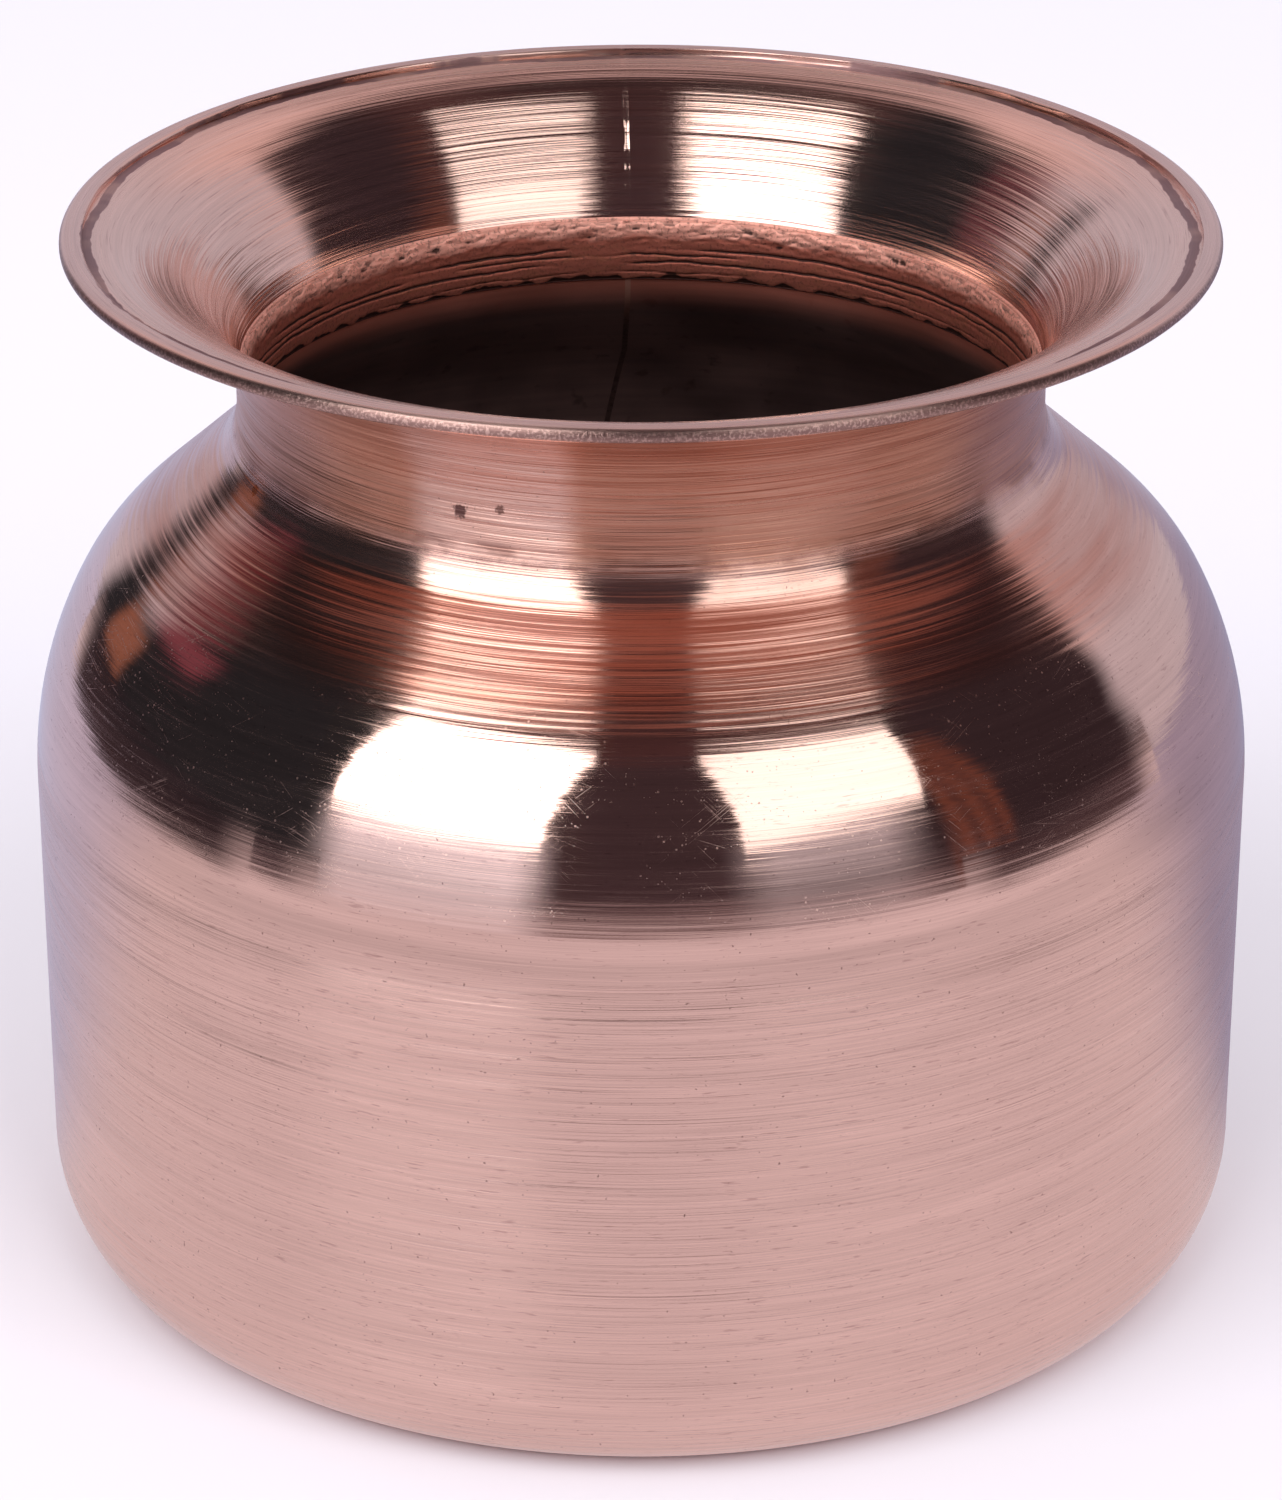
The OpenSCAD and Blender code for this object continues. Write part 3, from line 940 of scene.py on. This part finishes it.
def card(name, place, shade, columns, rows):
    """A grid that only reflections see. place and shade take the shares across and up, from 0 to 1."""
    across, up = np.meshgrid(np.linspace(0, 1, columns + 1), np.linspace(0, 1, rows + 1))
    across, up = across.ravel(), up.ravel()
    i, k = np.meshgrid(np.arange(rows), np.arange(columns), indexing="ij")
    first = (i * (columns + 1) + k).ravel()
    faces = np.stack([first, first + 1, first + columns + 2, first + columns + 1], axis=-1)
    thing = stage_piece(name, place(across, up).tolist(), faces.tolist(), glow(name))
    colours = np.column_stack([shade(across, up), np.ones(len(across))])
    stored = thing.data.color_attributes.new("shade", "FLOAT_COLOR", "POINT")
    stored.data.foreach_set("color", colours.ravel())
    for ray in ("camera", "diffuse", "shadow", "transmission"):
        setattr(thing, "visible_" + ray, False)
    return thing


def around_pot(azimuth, radius, z):
    """Points round the pot, with azimuth in degrees from the camera's side, to the right."""
    a = np.radians(azimuth)
    return np.column_stack([radius * np.sin(a), -radius * np.cos(a), z])


def lerp(a, b, share):
    """Between a and b, which are a vector each or one for each share."""
    return np.asarray(a) * (1 - share[:, None]) + np.asarray(b) * share[:, None]


def direction(azimuth, elevation):
    """Unit vectors, with azimuth from the camera's side to the right and elevation up, both in degrees."""
    a, e = np.radians(azimuth), np.radians(elevation)
    return np.stack([np.cos(e) * np.sin(a), -np.cos(e) * np.cos(a), np.sin(e)], axis=-1)


ROOM_R = 2.6
# Elevations of the room card's edges, in degrees
ROOM_LOW, ROOM_HIGH = -2, 90
# The reflecting parts of the pot lie round this point.
POT_MIDDLE = np.array([0, 0, 70 * MM])

# What the room card shows
LEFT_DARK, RIGHT_DARK, GAP_DARK = (0.019, 0.021, 0.026), (0.034, 0.024, 0.030), (0.048, 0.033, 0.040)
CEILING, ZENITH = (0.072, 0.034, 0.036), (0.036, 0.024, 0.028)
BACKDROP_LOW, BACKDROP_HIGH = (0.54, 0.53, 0.61), (0.72, 0.56, 0.56)
WINDOW_GLOW, FLOOR_GLOW = (0.68, 0.70, 0.80), (0.62, 0.46, 0.50)
CURTAIN, PINK_THING, ORANGE_THING = (0.16, 0.06, 0.042), (0.24, 0.07, 0.10), (0.25, 0.115, 0.08)


def room_angles(across, up):
    """Azimuth and elevation in degrees, from the shares across and up the card."""
    return -180 + 360 * across, ROOM_LOW + (ROOM_HIGH - ROOM_LOW) * up


def room_place(across, up):
    return POT_MIDDLE + ROOM_R * direction(*room_angles(across, up))


def room_shade(across, up):
    """Dark in front and overhead, with a glow under the windows and a pale backdrop behind the pot.

    In front means on the camera's side of the pot.
    """
    az, el = room_angles(across, up)

    # The dark side, with a little light from the floor low down
    colour = lerp(LEFT_DARK, RIGHT_DARK, rise(az, -20, 30))
    colour = lerp(colour, GAP_DARK, 1 - rise(np.abs(az), 14, 24))
    near_floor = 0.30 * (1 - rise(el, -2, 9)) * (1 - rise(np.abs(az), 50, 66))
    colour = lerp(colour, FLOOR_GLOW, near_floor)

    # Light on what stands under the windows, and a curtain to the right of them
    glow_left = between(az, -54, -25, 11) * (0.85 + 0.55 * rise(el, 5, 19))
    glow_right = between(az, 27, 44, 13) * (0.27 + 0.40 * rise(el, 6, 19))
    under = 1 - rise(el, 21, 26)
    colour = colour + np.array(WINDOW_GLOW) * (np.maximum(glow_left, glow_right) * under)[:, None]
    folds = 0.68 + 0.32 * np.cos(2 * math.pi * (az + 0.12 * el) / 4.5)
    curtain = between(az, 60, 70, 3) * between(el, 4, 40, 9) * folds
    colour = lerp(colour, CURTAIN, curtain)

    # The ceiling, a pink thing, and the backdrop, whose edges slant
    colour = lerp(colour, CEILING, rise(el, 54, 66))
    pink = between(-az, 112, 134, 6) * between(el - 0.25 * (az + 120), 24, 29, 4)
    colour = lerp(colour, PINK_THING, 0.8 * pink)
    left = np.maximum(rise(-az, 122, 136) * rise(el, 14, 22), rise(-az, 140, 148))
    right_from = 103 + 0.75 * np.maximum(el - 16, 0)
    right = rise(az - right_from, 0, 9)
    behind = np.clip(np.maximum(left, right), 0, 1)
    backdrop = lerp(BACKDROP_LOW, BACKDROP_HIGH, rise(el, 22, 42))
    colour = lerp(colour, backdrop, behind * (1 - rise(el, 46, 54)))
    colour = lerp(colour, ZENITH, rise(el, 62, 78))
    return lerp(colour, ORANGE_THING, between(-az, 124, 132, 4) * between(el, 3, 14, 4))


card("room", room_place, room_shade, 480, 92)

WINDOW_FAR = 1.4


def window(name, corners, radiance):
    """A lit sheet between four directions from the pot, from bottom left round to top left."""
    low_left, low_right, high_right, high_left = WINDOW_FAR * direction(*np.array(corners, float).T)

    def place(across, up):
        low = lerp(low_left, low_right, across)
        high = lerp(high_left, high_right, across)
        return POT_MIDDLE + low * (1 - up[:, None]) + high * up[:, None]

    def shade(across, up):
        return np.full((len(across), 3), radiance)

    card(name, place, shade, 1, 1)


# Azimuth and elevation of each corner in degrees, and how brightly the window shines
window("left_window", ((-61, 20), (-19, 20.5), (-13, 61), (-74, 58.5)), 3.2)
window("right_window", ((19.5, 20.5), (56, 23), (69, 53), (16, 59)), 1.75)

TABLE_FRONT, TABLE_LEFT, TABLE_RIGHT = (0.70, 0.64, 0.70), (0.53, 0.55, 0.74), (0.34, 0.33, 0.47)
# Degrees over which a low wall fades out at each end
END = 9


def low_wall(name, azimuths, radius, top, low, high):
    """A curved strip that stands on the floor round part of the pot, and fades out over its ends."""
    first, last = azimuths

    def place(across, up):
        return around_pot(first + (last - first) * across, radius, top * up + 1 * MM)

    def shade(across, up):
        ends = 1 - between(first + (last - first) * across, first + END, last - END, END)
        return lerp(lerp(low, high, up), TABLE_FRONT, ends * (1 - up))

    card(name, place, shade, 48, 8)


low_wall("left_side", (-137, -70), 0.47, 0.10, (0.05, 0.036, 0.044), (0.02, 0.018, 0.024))
low_wall("left_front", (-92, -58), 0.85, 0.14, (0.10, 0.07, 0.085), LEFT_DARK)
low_wall("right_side", (58, 107), 0.80, 0.14, (0.09, 0.06, 0.07), RIGHT_DARK)

# The table card starts inside the pot's foot, and its rows are closest together near the pot.
TABLE_START, TABLE_REACH = 0.03, 5.0


def table_radius(up):
    return TABLE_START + TABLE_REACH * up ** 3


def table_place(across, up):
    return around_pot(-180 + 360 * across, table_radius(up), np.full(len(up), 0.5 * MM))


def table_shade(across, up):
    """The table as the copper shows it: pinkish in front and lavender behind, darker to the right."""
    az = -180 + 360 * across
    colour = lerp(TABLE_FRONT, TABLE_LEFT, rise(-az, 82, 114))
    colour = lerp(colour, TABLE_RIGHT, rise(az, 82, 114) * (1 - rise(az, 150, 180)))
    colour = lerp(colour, TABLE_LEFT, rise(az, 150, 180))
    dim = 0.16 * between(table_radius(up), 0.25, 0.36, 0.08) * (1 - rise(np.abs(az), 95, 125))
    return colour * (1 - dim)[:, None]


card("table_top", table_place, table_shade, 90, 60)

paint = bpy.data.materials.new("floor_paint")
paint.use_nodes = True
floor_shader = paint.node_tree.nodes["Principled BSDF"]
floor_shader.inputs["Base Color"].default_value = (0.80, 0.77, 0.83, 1)
floor_shader.inputs["Roughness"].default_value = 0.9
floor_shader.inputs["Specular IOR Level"].default_value = 0.1
FLOOR_REACH = 5.0
floor_corners = [(x * FLOOR_REACH, y * FLOOR_REACH, 0) for x, y in ((-1, -1), (1, -1), (1, 1), (-1, 1))]
stage_piece("floor", floor_corners, [(0, 1, 2, 3)], paint)

LIGHT_FAR, LIGHT_UP, LIGHT_TALL = 1.0, 1.68, 2.2
# Watts per square metre of a light, over pi
LIGHT_POWER = 3.0


def area_light(name, azimuth, width):
    """Lights the floor softly. Reflections don't see it: the copper shows the windows in its place."""
    light = bpy.data.lights.new(name, "AREA")
    light.shape = "RECTANGLE"
    light.size = width
    light.size_y = LIGHT_TALL
    light.energy = LIGHT_POWER * width * light.size_y * math.pi
    thing = bpy.data.objects.new(name, light)
    thing.location = around_pot(azimuth, LIGHT_FAR, LIGHT_UP)[0]
    thing.rotation_euler = (math.radians(90), 0, math.radians(azimuth))
    thing.visible_camera = False
    thing.visible_glossy = False
    bpy.context.collection.objects.link(thing)


area_light("left_light", -41, 1.06)
area_light("right_light", 37, 0.90)

world = bpy.data.worlds.new("world")
bpy.context.scene.world = world
world.use_nodes = True
world.node_tree.nodes["Background"].inputs[0].default_value = (0.8, 0.79, 0.82, 1)

# The camera: how far back and up it stands, how far it looks down in degrees, and its lens in millimetres
CAMERA_BACK, CAMERA_UP = 504.5 * MM, 285.5 * MM
LOOKS_DOWN = 24.97
LENS, SENSOR = 128.18, 36
camera_data = bpy.data.cameras.new("camera")
camera_data.lens = LENS
camera_data.sensor_width = SENSOR
camera = bpy.data.objects.new("camera", camera_data)
camera.location = (0, -CAMERA_BACK, CAMERA_UP)
camera.rotation_euler = (math.radians(90 - LOOKS_DOWN), 0, 0)
bpy.context.collection.objects.link(camera)
bpy.context.scene.camera = camera
bpy.context.scene.view_settings.view_transform = "Standard"
